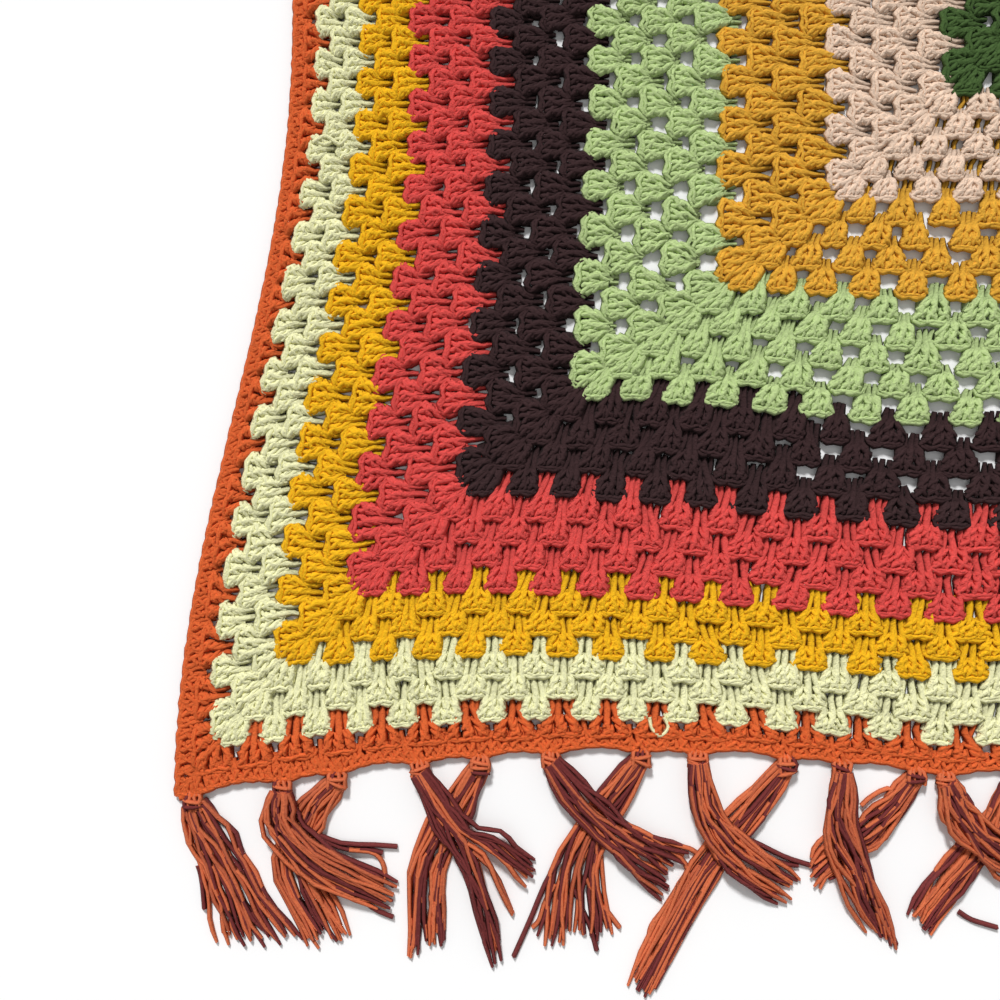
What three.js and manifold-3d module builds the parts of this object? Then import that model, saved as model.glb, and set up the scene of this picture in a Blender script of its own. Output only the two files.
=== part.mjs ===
// A granny square throw: one crocheted square of 34 rounds in nine yarns, with a fringe of tassels
// knotted into its foot and its top. Millimetres, +Z up. The cloth lies flat with its underside on
// z = 0 and the middle of its first round at the origin.
import * as THREE from "three";
import Module from "manifold-3d";

const wasm = await Module();
wasm.setup();
const { Manifold, Mesh: SolidMesh } = wasm;

// ---------------------------------------------------------------- driving dimensions

// One row for each yarn, from the middle out. lastRound is the last round worked in it. The next
// columns say where that round lies as the cloth is laid: its lower left corner, the middle of its
// left side and the middle of its foot, all measured out from the centre. ease is how late the left
// side swings out to the corner, and arch is how far the foot bows up beside its middle.
const YARNS = [
  { yarn: "dark green", color: 0x4a6b35, lastRound: 4, cornerX: 49, cornerY: 45,
    sideX: 49, footX: 5, footY: 45, ease: 1.5, arch: 0 },
  { yarn: "shell pink", color: 0xe6c9b8, lastRound: 9, cornerX: 104, cornerY: 96,
    sideX: 104, footX: 15, footY: 96, ease: 1.5, arch: 0 },
  { yarn: "mustard", color: 0xdd9f31, lastRound: 13, cornerX: 157, cornerY: 139,
    sideX: 155, footX: 18, footY: 144, ease: 1.5, arch: 0 },
  { yarn: "light green", color: 0xb3cc8e, lastRound: 18, cornerX: 227, cornerY: 190,
    sideX: 218, footX: 26, footY: 204, ease: 1.5, arch: 0 },
  { yarn: "brown", color: 0x3b2a2c, lastRound: 22, cornerX: 282, cornerY: 237,
    sideX: 265, footX: 31, footY: 253, ease: 1.5, arch: 2 },
  { yarn: "coral", color: 0xc94a4c, lastRound: 26, cornerX: 334, cornerY: 286,
    sideX: 304, footX: 35, footY: 298, ease: 1.5, arch: 6 },
  { yarn: "yellow", color: 0xecb31f, lastRound: 29, cornerX: 369, cornerY: 319,
    sideX: 328, footX: 37, footY: 326, ease: 1.2, arch: 8 },
  { yarn: "cream", color: 0xdfe0b4, lastRound: 32, cornerX: 400, cornerY: 359,
    sideX: 349, footX: 40, footY: 358, ease: 1.1, arch: 14 },
  { yarn: "orange", color: 0xd9602f, lastRound: 34, cornerX: 417, cornerY: 384,
    sideX: 360, footX: 41, footY: 373, ease: 1.15, arch: 16 },
];
const ROUNDS = YARNS[YARNS.length - 1].lastRound;
const FAR_CORNER = 0.905; // the lower right corner's reach, as a share of the lower left one's
const FOOT_CROWD = 0.035; // how much closer the stitches stand near the foot's corners
const SIDE_CROWD = -0.03; // the same on the sides, where they stand wider apart

// The cloth is thickest where one round is worked into the last, and thinnest between.
const RIDGE_HEIGHT = 4.2;
const GROOVE_HEIGHT = 3.1;
const EDGE_HEIGHT = 3.4;
const GROOVE_AT = 0.45; // rounds in from the ridge
const SIDE_STOPS = [ // how many straight stretches draw one side of a round
  { upTo: 9, stops: 2 },
  { upTo: 26, stops: 4 },
  { upTo: ROUNDS, stops: 6 },
];
const EDGE_STOPS = 8; // the same for the plain edges left and right

// The open spaces of the stitch, in rounds: each is as wide as the posts leave, just outside a cluster.
const SPACE_HALF_WIDTH = 0.44;
const SPACE_START = 0.06;
const SPACE_DEPTH = 0.64;
const FIRST_OPEN_ROUND = 4;
const OPEN_MIDDLES = [15, 17, 19]; // rounds that are also open in the middle of each side

// The tassels of the foot's left half, from the corner in. Each leaves its knot at rootX on the edge
// and lies through the knee and the shin to a row of tips, from tip one to tip two. over is 1 where
// it lies on its neighbour.
const TASSELS = [
  { rootX: -409, kneeX: -401, kneeY: -404, shinX: -389, shinY: -427,
    oneX: -388, oneY: -454, twoX: -363, twoY: -452, over: 0 },
  { rootX: -366, kneeX: -366, kneeY: -394, shinX: -349, shinY: -412,
    oneX: -316, oneY: -438, twoX: -312, twoY: -426, over: 1 },
  { rootX: -340, kneeX: -353, kneeY: -391, shinX: -361, shinY: -415,
    oneX: -352, oneY: -455, twoX: -335, twoY: -449, over: 0 },
  { rootX: -300, kneeX: -283, kneeY: -396, shinX: -270, shinY: -412,
    oneX: -263, oneY: -463, twoX: -245, twoY: -419, over: 1 },
  { rootX: -271, kneeX: -283, kneeY: -391, shinX: -295, shinY: -414,
    oneX: -305, oneY: -458, twoX: -290, twoY: -454, over: 0 },
  { rootX: -237, kneeX: -218, kneeY: -389, shinX: -199, shinY: -406,
    oneX: -184, oneY: -431, twoX: -171, twoY: -410, over: 1 },
  { rootX: -194, kneeX: -210, kneeY: -388, shinX: -223, shinY: -413,
    oneX: -240, oneY: -454, twoX: -209, twoY: -450, over: 0 },
  { rootX: -167, kneeX: -163, kneeY: -390, shinX: -144, shinY: -413,
    oneX: -125, oneY: -434, twoX: -118, twoY: -423, over: 1 },
  { rootX: -124, kneeX: -144, kneeY: -394, shinX: -166, shinY: -422,
    oneX: -199, oneY: -473, twoX: -189, twoY: -480, over: 0 },
  { rootX: -98, kneeX: -99, kneeY: -394, shinX: -90, shinY: -420,
    oneX: -83, oneY: -447, twoX: -71, twoY: -454, over: 1 },
  { rootX: -62, kneeX: -80, kneeY: -395, shinX: -97, shinY: -408,
    oneX: -112, oneY: -415, twoX: -108, twoY: -427, over: 0 },
  { rootX: -48, kneeX: -41, kneeY: -391, shinX: -26, shinY: -407,
    oneX: -10, oneY: -425, twoX: 0, twoY: -415, over: 1 },
  { rootX: -13, kneeX: -25, kneeY: -396, shinX: -42, shinY: -420,
    oneX: -64, oneY: -440, twoX: -56, twoY: -448, over: 0 },
];
const MIRRORED = 11; // so many of them, counted from the corner, repeat in the foot's right half
const MIRROR_X = -20; // the line they are mirrored in
const HEAD_RADIUS = 5.4; // the knot that holds a tassel's strands
const HEAD_HEIGHT = 7;
const HEAD_TOP = 0.7; // the knot's top, as a share of its foot
const HEAD_SIDES = 6;
const EDGE_GAP = 0.5; // between a knot and the edge it is tied round
const LOCKS = 3; // the strands of a tassel lie in so many locks
const LOCK_STEPS = 4;
const LOCK_HEIGHT = 5;
const OVER_HEIGHT = 5.8; // how high an upper tassel's locks pass over the lower one's
const LOCK_STATIONS = [
  { width: 3.4, apart: 3.8, lift: 1, height: 1 },
  { width: 4.3, apart: 4.8, lift: 1, height: 1 },
  { width: 4.5, apart: 5.0, lift: 1, height: 1 },
  { width: 4.6, apart: 5.2, lift: 0.8, height: 0.95 },
  { width: 3.6, apart: 0, lift: 0, height: 0.55 },
];
const EDGE_ARCH = 0.085; // how far the edge bows in between two knots, as a share of their spacing

// ---------------------------------------------------------------- the cloth as it is laid

// A column of YARNS at any round, in proportion between the rows.
function atRound(round, column) {
  let below = { lastRound: 0, [column]: column === "ease" ? YARNS[0].ease : 0 };
  for (const row of YARNS) {
    if (round <= row.lastRound) {
      const share = (round - below.lastRound) / (row.lastRound - below.lastRound);
      return THREE.MathUtils.lerp(below[column], row[column], share);
    }
    below = row;
  }
  return below[column];
}

// A point of the foot at a round, from its left corner at -1 to its right corner at 1.
function footPoint(round, t) {
  const away = Math.abs(t);
  const cornerX = atRound(round, "cornerX") * (t < 0 ? -1 : FAR_CORNER);
  const along = away + FOOT_CROWD * Math.sin(Math.PI * away);
  const drop = (1 - Math.cos(Math.PI * away)) / 2;
  const middleX = -atRound(round, "footX");
  const middleY = -atRound(round, "footY");
  const x = THREE.MathUtils.lerp(middleX, cornerX, along);
  const y = THREE.MathUtils.lerp(middleY, -atRound(round, "cornerY"), drop);
  return new THREE.Vector2(x, y + atRound(round, "arch") * Math.sin(Math.PI * away));
}

// A point of the left side at a round, from the lower corner at -1 to the upper corner at 1.
function sidePoint(round, t) {
  const away = Math.abs(t);
  const cornerX = -atRound(round, "cornerX") * (t < 0 ? 1 : FAR_CORNER);
  const swing = (1 - Math.cos(Math.PI * away ** atRound(round, "ease"))) / 2;
  const along = away + SIDE_CROWD * Math.sin(Math.PI * away);
  const x = THREE.MathUtils.lerp(-atRound(round, "sideX"), cornerX, swing);
  return new THREE.Vector2(x, atRound(round, "cornerY") * along * Math.sign(t));
}

// Where the stitch that stands u rounds right of the centre and v rounds above it is laid. The right
// side and the top are the left side and the foot, turned half round.
function layOut(u, v) {
  const round = Math.max(Math.abs(u), Math.abs(v));
  if (round === 0) return new THREE.Vector2(0, 0);
  if (Math.abs(v) >= Math.abs(u)) {
    return v < 0 ? footPoint(round, u / round) : footPoint(round, -u / round).negate();
  }
  return u < 0 ? sidePoint(round, v / round) : sidePoint(round, -v / round).negate();
}

// The point t (-1 to 1) along one side of a round, going round it to the left of its middle: side 0 is
// the foot, 1 the right side, 2 the top and 3 the left side.
function roundPoint(round, side, t) {
  const ways = [
    [t * round, -round],
    [round, t * round],
    [-t * round, round],
    [-round, -t * round],
  ];
  return layOut(...ways[side]);
}

// ---------------------------------------------------------------- solids from plain triangles

function solidFrom(points, faces) {
  const mesh = new SolidMesh({
    numProp: 3,
    vertProperties: new Float32Array(points.flat()),
    triVerts: new Uint32Array(faces.flat()),
  });
  return new Manifold(mesh);
}

function geometryOf(solid) {
  const { vertProperties, triVerts } = solid.getMesh();
  const geometry = new THREE.BufferGeometry();
  geometry.setAttribute("position", new THREE.BufferAttribute(vertProperties, 3));
  geometry.setIndex(new THREE.BufferAttribute(triVerts, 1));
  const flat = geometry.toNonIndexed();
  flat.computeVertexNormals();
  return flat;
}

// ---------------------------------------------------------------- the crocheted square

// A closed ring of stitches: points on the cloth with their place round it (0 to 4) and their height.
function stitchRing(round, height, stopsOnSide) {
  const ring = [];
  for (let side = 0; side < 4; side++) {
    for (const { t, inward = 0 } of stopsOnSide(side)) {
      const at = roundPoint(round, side, t);
      const toMiddle = side === 0 ? inward : side === 2 ? -inward : 0;
      ring.push({ x: at.x, y: at.y + toMiddle, z: height, place: side + (t + 1) / 2 });
    }
  }
  return ring;
}

// So many even stops from one corner up to, but not with, the next.
function evenStops(count) {
  const stops = Array.from({ length: count }, (_, i) => ({ t: -1 + (2 * i) / count }));
  return () => stops;
}

// The foot's and the top's outermost edge has a stop at each knot, and bows in between them.
function knottedStops(knotTs, footWidth) {
  const stops = [{ t: -1 }];
  const ends = [-1, ...knotTs, 1];
  for (let i = 1; i < ends.length; i++) {
    const span = ((ends[i] - ends[i - 1]) * footWidth) / 2;
    if (i > 1) stops.push({ t: ends[i - 1] });
    stops.push({ t: (ends[i] + ends[i - 1]) / 2, inward: span * EDGE_ARCH });
  }
  return stops;
}

// Triangles between two rings whose points hold their place round the ring and their number.
function bridge(inner, outer) {
  const faces = [];
  let i = 0;
  let o = 0;
  const place = (ring, n) => ring[n % ring.length].place + (n >= ring.length ? 4 : 0);
  while (i < inner.length || o < outer.length) {
    const innerIndex = inner[i % inner.length].index;
    const outerIndex = outer[o % outer.length].index;
    const stepOuter = o < outer.length
      && (i >= inner.length || place(outer, o + 1) <= place(inner, i + 1) + 1e-9);
    if (stepOuter) {
      o += 1;
      faces.push([innerIndex, outerIndex, outer[o % outer.length].index]);
    } else {
      i += 1;
      faces.push([innerIndex, outerIndex, inner[i % inner.length].index]);
    }
  }
  return faces;
}

// Stops on each side of a round, more on the longer ones.
function stopsFor(round) {
  return SIDE_STOPS.find(({ upTo }) => round <= upTo).stops;
}

function squareSlab(edgeStops) {
  const rings = [];
  for (let round = 1; round <= ROUNDS; round++) {
    const stops = evenStops(stopsFor(round));
    rings.push(stitchRing(round - GROOVE_AT, GROOVE_HEIGHT, stops));
    if (round < ROUNDS) rings.push(stitchRing(round, RIDGE_HEIGHT, stops));
  }
  rings.push(stitchRing(ROUNDS, EDGE_HEIGHT, edgeStops));
  rings.push(stitchRing(ROUNDS, 0, edgeStops));

  const points = [[0, 0, RIDGE_HEIGHT], [0, 0, 0]];
  for (const ring of rings) {
    for (const stop of ring) {
      stop.index = points.length;
      points.push([stop.x, stop.y, stop.z]);
    }
  }
  const faces = [];
  const first = rings[0];
  first.forEach((stop, i) => faces.push([0, stop.index, first[(i + 1) % first.length].index]));
  for (let i = 1; i < rings.length; i++) faces.push(...bridge(rings[i - 1], rings[i]));
  const last = rings[rings.length - 1];
  last.forEach((stop, i) => faces.push([1, last[(i + 1) % last.length].index, stop.index]));
  return solidFrom(points, faces);
}

// One open space: a three-sided shaft just outside the cluster that is j-th along a side of a round.
function spaceShaft(round, side, j) {
  const below = -1;
  const above = RIDGE_HEIGHT + 1;
  const u = -(round - 1) + 2 * j;
  const near = round + SPACE_START;
  const far = near + SPACE_DEPTH;
  const corners = [
    roundPoint(near, side, (u - SPACE_HALF_WIDTH) / near),
    roundPoint(far, side, u / far),
    roundPoint(near, side, (u + SPACE_HALF_WIDTH) / near),
  ];
  const points = [below, above].flatMap((z) => corners.map((c) => [c.x, c.y, z]));
  const faces = [
    [0, 2, 1], [3, 4, 5],
    [0, 1, 4], [0, 4, 3],
    [1, 2, 5], [1, 5, 4],
    [2, 0, 3], [2, 3, 5],
  ];
  return { points, faces };
}

// Which spaces are open: the widest of each round, one each side of its corners, and more in the
// loosest bands, near the middle of their sides.
function openSpaces() {
  const spaces = [];
  for (let round = FIRST_OPEN_ROUND; round < ROUNDS; round++) {
    const half = Math.floor(round / 2);
    const middles = OPEN_MIDDLES.includes(round) ? [half - 2, half, half + 2] : [];
    for (let side = 0; side < 4; side++) {
      for (const j of [0, ...middles, round - 1]) spaces.push(spaceShaft(round, side, j));
    }
  }
  return spaces;
}

function allShafts() {
  const points = [];
  const faces = [];
  for (const shaft of openSpaces()) {
    const start = points.length;
    points.push(...shaft.points);
    faces.push(...shaft.faces.map((face) => face.map((n) => n + start)));
  }
  return solidFrom(points, faces);
}

// ---------------------------------------------------------------- the yarns' colours on the square

function inside(outline, x, y) {
  let within = false;
  outline.forEach((a, i) => {
    const b = outline[(i + 1) % outline.length];
    if (a.y > y !== b.y > y && x < ((b.x - a.x) * (y - a.y)) / (b.y - a.y) + a.x) within = !within;
  });
  return within;
}

// Each face of the square takes the colour of the yarn whose rounds it lies in.
function colourByYarn(geometry) {
  const outlines = YARNS.slice(0, -1).map(({ color, lastRound }) => ({
    color: new THREE.Color(color),
    outline: stitchRing(lastRound, 0, evenStops(stopsFor(lastRound))),
  }));
  const border = new THREE.Color(YARNS[YARNS.length - 1].color);
  const at = geometry.getAttribute("position");
  const colors = new Float32Array(at.count * 3);
  for (let face = 0; face < at.count; face += 3) {
    const x = (at.getX(face) + at.getX(face + 1) + at.getX(face + 2)) / 3;
    const y = (at.getY(face) + at.getY(face + 1) + at.getY(face + 2)) / 3;
    const color = outlines.find(({ outline }) => inside(outline, x, y))?.color ?? border;
    for (let corner = 0; corner < 3; corner++) color.toArray(colors, (face + corner) * 3);
  }
  geometry.setAttribute("color", new THREE.BufferAttribute(colors, 3));
}

// ---------------------------------------------------------------- the fringe

// The place t along the foot at which its edge has a given x.
function footPlaceAt(x) {
  let low = -1;
  let high = 1;
  while (high - low > 1e-6) {
    const middle = (low + high) / 2;
    if (footPoint(ROUNDS, middle).x < x) low = middle;
    else high = middle;
  }
  return low;
}

// A tassel's row, mirrored into the foot's right half.
function mirrored(row) {
  const flip = (x) => 2 * MIRROR_X - x;
  return {
    rootX: flip(row.rootX), kneeX: flip(row.kneeX), kneeY: row.kneeY,
    shinX: flip(row.shinX), shinY: row.shinY,
    oneX: flip(row.twoX), oneY: row.twoY, twoX: flip(row.oneX), twoY: row.oneY, over: row.over,
  };
}

// A lock: a strip with a flat underside and a ridge, closed at both ends, along points on the floor.
function lockSolid(stations) {
  const points = [];
  stations.forEach((station, i) => {
    const from = stations[Math.max(i - 1, 0)].at;
    const to = stations[Math.min(i + 1, stations.length - 1)].at;
    const left = new THREE.Vector2(from.y - to.y, to.x - from.x).normalize();
    const half = station.width / 2;
    const section = [[-half, 0], [half, 0], [0, 1]];
    for (const [aside, up] of section) {
      const x = station.at.x + left.x * aside;
      const y = station.at.y + left.y * aside;
      points.push([x, y, station.z + up * station.height]);
    }
  });
  const sides = 3; // the underside and the two slopes
  const faces = [[0, 2, 1]];
  for (let i = 0; i + 1 < stations.length; i++) {
    for (let side = 0; side < sides; side++) {
      const a = sides * i + side;
      const b = sides * i + ((side + 1) % sides);
      faces.push([a, b + sides, a + sides], [a, b, b + sides]);
    }
  }
  const end = sides * (stations.length - 1);
  faces.push([end, end + 1, end + 2]);
  return solidFrom(points, faces);
}

// The knot: a short six-sided stump, narrower at the top.
function headSolid(x, y) {
  const points = [];
  for (const [z, radius] of [[0, HEAD_RADIUS], [HEAD_HEIGHT, HEAD_RADIUS * HEAD_TOP]]) {
    for (let i = 0; i < HEAD_SIDES; i++) {
      const angle = (2 * Math.PI * i) / HEAD_SIDES;
      points.push([x + radius * Math.cos(angle), y + radius * Math.sin(angle), z]);
    }
  }
  const faces = [];
  for (let i = 0; i < HEAD_SIDES; i++) {
    const next = (i + 1) % HEAD_SIDES;
    faces.push([i, next, next + HEAD_SIDES], [i, next + HEAD_SIDES, i + HEAD_SIDES]);
    if (i > 0 && next > 0) {
      faces.push([0, next, i], [HEAD_SIDES, HEAD_SIDES + i, HEAD_SIDES + next]);
    }
  }
  return solidFrom(points, faces);
}

function tasselSolid(row) {
  const edgeY = footPoint(ROUNDS, footPlaceAt(row.rootX)).y;
  const headY = edgeY - EDGE_GAP - HEAD_RADIUS * Math.cos(Math.PI / HEAD_SIDES);
  const route = new THREE.CatmullRomCurve3([
    new THREE.Vector3(row.rootX, headY, 0),
    new THREE.Vector3(row.kneeX, row.kneeY, 0),
    new THREE.Vector3(row.shinX, row.shinY, 0),
    new THREE.Vector3((row.oneX + row.twoX) / 2, (row.oneY + row.twoY) / 2, 0),
  ]);
  const parts = [headSolid(row.rootX, headY)];
  for (let lock = 0; lock < LOCKS; lock++) {
    const share = lock / (LOCKS - 1);
    const stations = LOCK_STATIONS.map(({ width, apart, lift, height }, i) => {
      const along = route.getPoint(i / LOCK_STEPS);
      const tangent = route.getTangent(i / LOCK_STEPS);
      const aside = apart * (2 * share - 1);
      const at = new THREE.Vector2(along.x - tangent.y * aside, along.y + tangent.x * aside);
      if (i === LOCK_STEPS) {
        at.x = THREE.MathUtils.lerp(row.oneX, row.twoX, share);
        at.y = THREE.MathUtils.lerp(row.oneY, row.twoY, share);
      }
      return { at, width, z: lift * OVER_HEIGHT * row.over, height: height * LOCK_HEIGHT };
    });
    parts.push(lockSolid(stations));
  }
  return Manifold.union(parts);
}

// ---------------------------------------------------------------- the throw

const throwGroup = new THREE.Group();

const footRows = [...TASSELS, ...TASSELS.slice(0, MIRRORED).reverse().map(mirrored)];
const knotTs = footRows.map((row) => footPlaceAt(row.rootX));
const footWidth = atRound(ROUNDS, "cornerX") * (1 + FAR_CORNER);
const edgeStops = (side) =>
  (side % 2 === 0 ? knottedStops(knotTs, footWidth) : evenStops(EDGE_STOPS)());

const squareGeometry = geometryOf(squareSlab(edgeStops).subtract(allShafts()));
colourByYarn(squareGeometry);
const crochet = new THREE.MeshStandardMaterial({ vertexColors: true, roughness: 0.95, metalness: 0 });
const square = new THREE.Mesh(squareGeometry, crochet);
square.name = "granny_square";
throwGroup.add(square);

const fringeYarn = new THREE.MeshStandardMaterial({ color: 0xb4502f, roughness: 0.95, metalness: 0 });
const ends = [{ end: "foot", turn: 0 }, { end: "top", turn: Math.PI }];
for (const { end, turn } of ends) {
  const fringe = new THREE.Group();
  fringe.rotation.z = turn;
  footRows.forEach((row, i) => {
    const tassel = new THREE.Mesh(geometryOf(tasselSolid(row)), fringeYarn);
    tassel.name = `tassel_${end}_${String(i + 1).padStart(2, "0")}`;
    fringe.add(tassel);
  });
  throwGroup.add(fringe);
}

export default throwGroup;
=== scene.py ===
import math
import bpy
import numpy as np
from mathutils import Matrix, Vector


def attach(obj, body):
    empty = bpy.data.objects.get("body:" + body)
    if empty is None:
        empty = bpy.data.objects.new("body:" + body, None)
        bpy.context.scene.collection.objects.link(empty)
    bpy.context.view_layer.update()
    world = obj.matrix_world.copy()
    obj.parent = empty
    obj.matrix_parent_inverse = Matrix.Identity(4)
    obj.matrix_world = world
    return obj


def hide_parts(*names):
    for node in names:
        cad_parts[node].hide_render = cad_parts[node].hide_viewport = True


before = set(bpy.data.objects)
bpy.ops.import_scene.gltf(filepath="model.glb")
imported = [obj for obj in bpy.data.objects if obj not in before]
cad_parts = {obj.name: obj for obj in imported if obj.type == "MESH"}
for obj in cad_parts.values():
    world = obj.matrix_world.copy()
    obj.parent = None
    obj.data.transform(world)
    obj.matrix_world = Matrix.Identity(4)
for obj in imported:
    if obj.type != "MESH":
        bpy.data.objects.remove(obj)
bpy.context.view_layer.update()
mm = 0.001
print("frame loaded,", len(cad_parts), "nodes")


def addToScene(name, data):
    made = bpy.data.objects.new(name, data)
    bpy.context.scene.collection.objects.link(made)
    return made


# The camera looks straight down on the throw's lower left quarter. It is placed in metres.
cameraView = {"x": -0.2616, "y": -0.2400, "height": 0.5630, "lens": 42.0, "sensor": 36.0}
cameraData = bpy.data.cameras.new("overheadCamera")
cameraData.lens = cameraView["lens"]
cameraData.sensor_width = cameraView["sensor"]
camera = addToScene("overheadCamera", cameraData)
camera.location = (cameraView["x"], cameraView["y"], cameraView["height"])
bpy.context.scene.camera = camera

# One row for each yarn, from the middle out: the last round worked in it, then where that round lies
# in mm out from the centre, at its lower left corner and the middles of its left side and foot. ease is
# how late the side swings out to the corner, and arch how far the foot bows up beside its middle. The
# rest is the stitch, in rounds. footReach and sideReach are how deep a cluster goes in. looseReach is
# the same near the foot's middle, up to looseTo of the way to its corners, firstReach the least of the
# first round on the sides, and uneven how much it varies. neck holds the stitches apart where they go
# in, and spread and sideSpread widen the cluster's fan.
yarnRows = [
    {"yarn": "dark_green", "lastRound": 4, "cornerX": 49, "cornerY": 45, "sideX": 49,
     "footX": 5, "footY": 45, "ease": 1.5, "arch": 0, "footReach": 1.75, "sideReach": 1.75,
     "color": (0.060, 0.115, 0.030), "neck": 0.20, "spread": 1.00, "sideSpread": 1.05},
    {"yarn": "pink", "lastRound": 9, "cornerX": 104, "cornerY": 96, "sideX": 104,
     "footX": 15, "footY": 96, "ease": 1.5, "arch": 0, "footReach": 1.38, "sideReach": 1.92,
     "color": (0.80, 0.60, 0.46), "neck": 0.14, "spread": 0.98, "sideSpread": 1.06},
    {"yarn": "mustard", "lastRound": 13, "cornerX": 157, "cornerY": 139, "sideX": 155,
     "footX": 18, "footY": 144, "ease": 1.5, "arch": 0, "footReach": 1.50, "sideReach": 1.90,
     "color": (0.74, 0.385, 0.040), "neck": 0.20, "spread": 1.00, "sideSpread": 1.12},
    {"yarn": "light_green", "lastRound": 18, "cornerX": 227, "cornerY": 190, "sideX": 218,
     "footX": 26, "footY": 204, "ease": 1.5, "arch": 0, "footReach": 1.90, "sideReach": 1.42,
     "color": (0.475, 0.60, 0.265), "neck": 0.16, "spread": 1.03, "sideSpread": 1.08,
     "looseTo": 0.62, "looseReach": 1.48, "firstReach": 1.66, "uneven": 0.12},
    {"yarn": "brown", "lastRound": 22, "cornerX": 282, "cornerY": 237, "sideX": 265,
     "footX": 31, "footY": 253, "ease": 1.5, "arch": 2, "footReach": 1.92, "sideReach": 1.70,
     "color": (0.040, 0.018, 0.019), "neck": 0.18, "spread": 1.03, "sideSpread": 1.12,
     "looseTo": 0.36, "looseReach": 1.52},
    {"yarn": "coral", "lastRound": 26, "cornerX": 334, "cornerY": 286, "sideX": 304,
     "footX": 35, "footY": 298, "ease": 1.5, "arch": 6, "footReach": 2.02, "sideReach": 1.95,
     "color": (0.69, 0.075, 0.066), "neck": 0.23, "spread": 1.03, "sideSpread": 1.13},
    {"yarn": "yellow", "lastRound": 29, "cornerX": 369, "cornerY": 319, "sideX": 328,
     "footX": 37, "footY": 326, "ease": 1.2, "arch": 8, "footReach": 2.05, "sideReach": 2.00,
     "color": (0.85, 0.46, 0.010), "neck": 0.22, "spread": 1.00, "sideSpread": 1.12},
    {"yarn": "cream", "lastRound": 32, "cornerX": 400, "cornerY": 359, "sideX": 349,
     "footX": 40, "footY": 358, "ease": 1.1, "arch": 14, "footReach": 2.05, "sideReach": 2.00,
     "color": (0.82, 0.81, 0.48), "neck": 0.25, "spread": 1.00, "sideSpread": 1.12},
    {"yarn": "orange", "lastRound": 34, "cornerX": 417, "cornerY": 384, "sideX": 360,
     "footX": 41, "footY": 373, "ease": 1.15, "arch": 16, "footReach": 2.00, "sideReach": 2.00,
     "color": (0.69, 0.125, 0.030), "neck": 0.22, "spread": 1.45, "sideSpread": 1.45},
]
# The corner on the far side is nearer, by farCorner. The crowds pack the stitches towards a corner or a
# middle, and edgeArch is how far the edge bows in between two knots, over archDepth rounds.
layout = {"farCorner": 0.905, "footCrowd": 0.035, "sideCrowd": -0.03, "edgeArch": 0.085, "archDepth": 1.2}
rounds = yarnRows[-1]["lastRound"]


def atRound(r, column):
    knots = [0] + [row["lastRound"] for row in yarnRows]
    first = yarnRows[0]["ease"] if column == "ease" else 0
    values = [first] + [row[column] for row in yarnRows]
    knots.append(knots[-1] + 1)
    values.append(values[-1] + (values[-1] - values[-2]) / 2)
    return np.interp(r, knots, values)


def footPoint(r, t):
    away = np.abs(t)
    cornerX = atRound(r, "cornerX") * np.where(t < 0, -1, layout["farCorner"])
    along = away + layout["footCrowd"] * np.sin(math.pi * away)
    drop = (1 - np.cos(math.pi * away)) / 2
    middleX, middleY = -atRound(r, "footX"), -atRound(r, "footY")
    x = middleX + (cornerX - middleX) * along
    y = middleY + (-atRound(r, "cornerY") - middleY) * drop
    return np.stack([x, y + atRound(r, "arch") * np.sin(math.pi * away)], axis=-1)


def sidePoint(r, t):
    away = np.abs(t)
    cornerX = -atRound(r, "cornerX") * np.where(t < 0, 1, layout["farCorner"])
    swing = (1 - np.cos(math.pi * away ** atRound(r, "ease"))) / 2
    along = away + layout["sideCrowd"] * np.sin(math.pi * away)
    middleX = -atRound(r, "sideX")
    x = middleX + (cornerX - middleX) * swing
    return np.stack([x, atRound(r, "cornerY") * along * np.sign(t)], axis=-1)


# The square's own grid has u across and v up, in rounds from the centre. The foot's and the left side's
# curves serve the top and the right side too, turned half round.
def layOut(u, v):
    u, v = np.asarray(u, float), np.asarray(v, float)
    r = np.maximum(np.maximum(np.abs(u), np.abs(v)), 1e-6)
    foot = footPoint(r, np.where(v < 0, u, -u) / r) * np.where(v < 0, 1, -1)[..., None]
    side = sidePoint(r, np.where(u < 0, v, -v) / r) * np.where(u < 0, 1, -1)[..., None]
    return np.where((np.abs(v) >= np.abs(u))[..., None], foot, side)


# A place from across a side and out from the centre. Sides 0 to 3 are the foot, right, top and left.
def roundPlace(side, across, out):
    ways = np.array([[1, 0, 0, -1], [0, 1, 1, 0], [-1, 0, 0, 1], [0, -1, -1, 0]])[side]
    extra = (1,) * (np.ndim(across) - np.ndim(side))
    w = [ways[..., i].reshape(np.shape(side) + extra) for i in range(4)]
    return across * w[0] + out * w[1], across * w[2] + out * w[3]


# The tassels of the foot's left half, from the corner in, in mm. A row gives the knot's x on the edge,
# then a knee, a shin and the first and last tip. over is 1 where it lies on its neighbour. The first
# eleven also stand on the right, mirrored about x.
tasselRows = [
    (-409, -401, -404, -389, -427, -388, -454, -363, -452, 0),
    (-366, -366, -394, -349, -412, -316, -438, -312, -426, 1),
    (-340, -353, -391, -361, -415, -352, -455, -335, -449, 0),
    (-300, -283, -396, -270, -412, -263, -463, -245, -419, 1),
    (-271, -283, -391, -295, -414, -305, -458, -290, -454, 0),
    (-237, -218, -389, -199, -406, -184, -431, -171, -410, 1),
    (-194, -210, -388, -223, -413, -240, -454, -209, -450, 0),
    (-167, -163, -390, -144, -413, -125, -434, -118, -423, 1),
    (-124, -144, -394, -166, -422, -199, -473, -189, -480, 0),
    (-98, -99, -394, -90, -420, -83, -447, -71, -454, 1),
    (-62, -80, -395, -97, -408, -112, -415, -108, -427, 0),
    (-48, -41, -391, -26, -407, -10, -425, 0, -415, 1),
    (-13, -25, -396, -42, -420, -64, -440, -56, -448, 0),
]
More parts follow.
